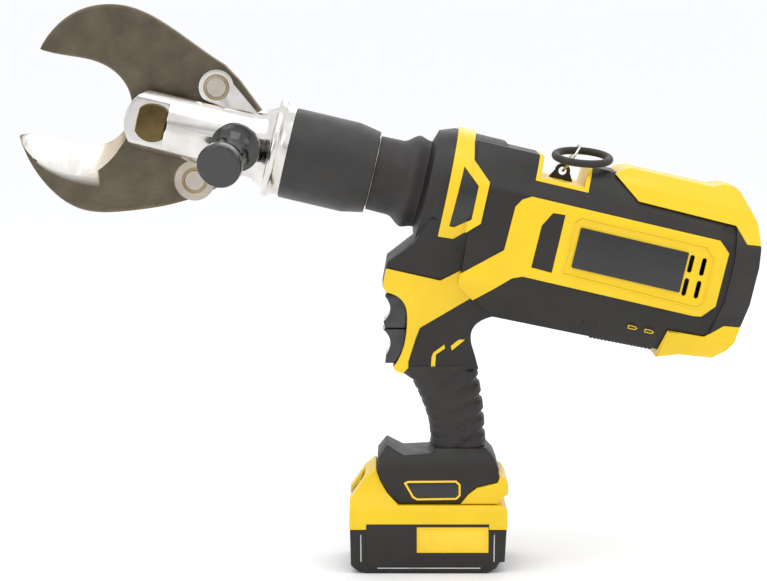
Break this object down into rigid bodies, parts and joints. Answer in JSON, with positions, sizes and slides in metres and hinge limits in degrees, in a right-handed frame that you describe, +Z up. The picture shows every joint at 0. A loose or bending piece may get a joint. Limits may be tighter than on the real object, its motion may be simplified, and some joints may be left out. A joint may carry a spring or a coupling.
{
  "type": "rescue cutter",
  "caption": "Yellow and black battery-powered hydraulic rescue cutter with open shear jaws, swivelling head, pistol grip and slide-on battery pack.",
  "frame": {"origin": "on the floor, at the battery pack's bottom face, in the tool's middle plane", "axes": "+X towards the motor's tail, +Y to the tool's right side, +Z up; the tool's own axis rises 13.2 degrees towards the jaws"},
  "size_m": [0.5435, 0.1288, 0.4205],
  "materials": {
    "yellow shell": "semi-gloss, lightly textured",
    "black shell": "matt",
    "black overmould": "matt, soft",
    "gloss black": "glossy",
    "blade steel": "ground, brown-grey",
    "bright steel": "polished",
    "plain steel": "turned",
    "bronzed steel": "dark bronze plating",
    "spring steel": "drawn wire",
    "cast aluminium": "cast",
    "cast iron": "machined casting",
    "motor steel": "plated",
    "cell can": "sleeved cells",
    "seal rubber": "smooth",
    "circuit board": "lacquered"
  },
  "bodies": {
    "tool": {"housing_left": "black shell", "housing_right": "black shell", "housing_screws": "plain steel", "side_panel_left": "yellow shell", "side_panel_right": "yellow shell", "panel_inserts": "black shell", "name_plates": "gloss black", "trim_band": "black shell", "rear_cap_upper": "yellow shell", "rear_cap_lower": "yellow shell", "rear_bumper": "black overmould", "lug_tray": "yellow shell", "lug_eye": "black shell", "neck_boot": "black overmould", "foot": "black shell", "foot_sole": "yellow shell", "switch_module": "black shell", "trigger_spring_upper": "spring steel", "trigger_spring_lower": "spring steel", "pump_block": "cast iron", "gearbox_case": "cast aluminium", "motor_can": "motor steel", "oil_bladder": "seal rubber", "control_board": "circuit board"},
    "head": {"yoke": "bright steel", "pivot_bolt": "bronzed steel", "pivot_nut": "bronzed steel", "head_collar": "bright steel", "cylinder_barrel": "plain steel", "barrel_sleeve": "black overmould", "plunger_bushing": "bright steel", "return_spring": "spring steel"},
    "upper_jaw": {"jaw_upper": "blade steel", "tail_pin_upper": "plain steel"},
    "lower_jaw": {"jaw_lower": "blade steel", "tail_pin_lower": "plain steel", "tail_washer": "plain steel"},
    "upper_link": {"link_upper": "bright steel"},
    "lower_link": {"link_lower": "bright steel"},
    "ram": {"ram_rod": "plain steel", "cross_pin": "plain steel", "piston": "plain steel", "piston_seal": "seal rubber"},
    "plunger": {"plunger_pin": "plain steel", "plunger_knob": "gloss black", "plunger_cap": "gloss black"},
    "split_ring": {"bail": "spring steel"},
    "soft_ring": {"lifting_ring": "black overmould"},
    "upper_trigger": {"trigger_upper": "gloss black"},
    "lower_trigger": {"trigger_lower": "gloss black"},
    "pack": {"pack_top": "yellow shell", "pack_base": "black shell", "battery_cells": "cell can"},
    "latch": {"pack_latch": "gloss black"},
    "cam": {"cam_shaft": "plain steel", "reduction_gear": "plain steel"},
    "rotor": {"motor_rotor": "motor steel", "motor_pinion": "plain steel", "motor_fan": "gloss black"},
    "pump_piston": {"pump_plunger": "plain steel"}
  },
  "joints": [
    {"name": "head_swivel", "type": "hinge", "parent": "tool", "child": "head", "pos_m": [-0.203, 0, 0.334], "axis": [0.9736, 0, -0.2284], "range_deg": [-175, 175]},
    {"name": "upper_jaw_pivot", "type": "hinge", "parent": "head", "child": "upper_jaw", "pos_m": [-0.203, 0, 0.334], "axis": [0, -1, 0], "range_deg": [0, 36]},
    {"name": "lower_jaw_pivot", "type": "hinge", "parent": "head", "child": "lower_jaw", "pos_m": [-0.203, 0, 0.334], "axis": [0, 1, 0], "range_deg": [0, 36]},
    {"name": "upper_link_pivot", "type": "hinge", "parent": "upper_jaw", "child": "upper_link", "pos_m": [-0.15699, 0, 0.35936], "axis": [0, 1, 0], "range_deg": [0, 61.04]},
    {"name": "lower_link_pivot", "type": "hinge", "parent": "lower_jaw", "child": "lower_link", "pos_m": [-0.17307, 0, 0.29082], "axis": [0, -1, 0], "range_deg": [0, 61.04]},
    {"name": "ram_stroke", "type": "slide", "parent": "head", "child": "ram", "axis": [-0.9736, 0, 0.2284], "range_m": [0, 0.04737], "deforming": ["return_spring"]},
    {"name": "plunger_press", "type": "slide", "parent": "head", "child": "plunger", "axis": [-0.2244, -0.9404, -0.2557], "range_m": [0, 0.008], "stiffness_N_per_m": 400, "springref_m": -0.004},
    {"name": "split_ring_swing", "type": "hinge", "parent": "tool", "child": "split_ring", "pos_m": [0.09962, 0, 0.29733], "axis": [0, 1, 0], "range_deg": [-12, 4]},
    {"name": "soft_ring_swing", "type": "hinge", "parent": "split_ring", "child": "soft_ring", "pos_m": [0.10637, 0, 0.30725], "axis": [0.8271, 0, -0.5621], "range_deg": [-12, 3]},
    {"name": "upper_trigger_pull", "type": "slide", "parent": "tool", "child": "upper_trigger", "axis": [1, 0, 0], "range_m": [0, 0.006], "stiffness_N_per_m": 300, "springref_m": -0.003, "deforming": ["trigger_spring_upper"]},
    {"name": "lower_trigger_pull", "type": "slide", "parent": "tool", "child": "lower_trigger", "axis": [1, 0, 0], "range_m": [0, 0.006], "stiffness_N_per_m": 300, "springref_m": -0.003, "deforming": ["trigger_spring_lower"]},
    {"name": "pack_slide", "type": "slide", "parent": "tool", "child": "pack", "axis": [-1, 0, 0], "range_m": [0, 0.12]},
    {"name": "latch_press", "type": "slide", "parent": "pack", "child": "latch", "axis": [0, 0, -1], "range_m": [0, 0.0024], "stiffness_N_per_m": 500, "springref_m": -0.002},
    {"name": "cam_turn", "type": "hinge", "parent": "tool", "child": "cam", "pos_m": [0.0404, 0, 0.27691], "axis": [0.9736, 0, -0.2284], "continuous": true},
    {"name": "rotor_turn", "type": "hinge", "parent": "tool", "child": "rotor", "pos_m": [0.08308, 0, 0.23994], "axis": [0.9736, 0, -0.2284], "continuous": true},
    {"name": "pump_stroke", "type": "slide", "parent": "tool", "child": "pump_piston", "axis": [0.2284, 0, 0.9736], "range_m": [0, 0.003], "stiffness_N_per_m": 600, "springref_m": -0.001}
  ],
  "couplings": [
    {"joint": "lower_jaw_pivot", "follows": "upper_jaw_pivot", "ratio": 1},
    {"joint": "upper_link_pivot", "follows": "upper_jaw_pivot", "ratio": 1.6955},
    {"joint": "lower_link_pivot", "follows": "upper_jaw_pivot", "ratio": 1.6955},
    {"joint": "ram_stroke", "follows": "upper_jaw_pivot", "m_per_rad": 0.075387},
    {"joint": "rotor_turn", "follows": "cam_turn", "ratio": -2.5}
  ]
}
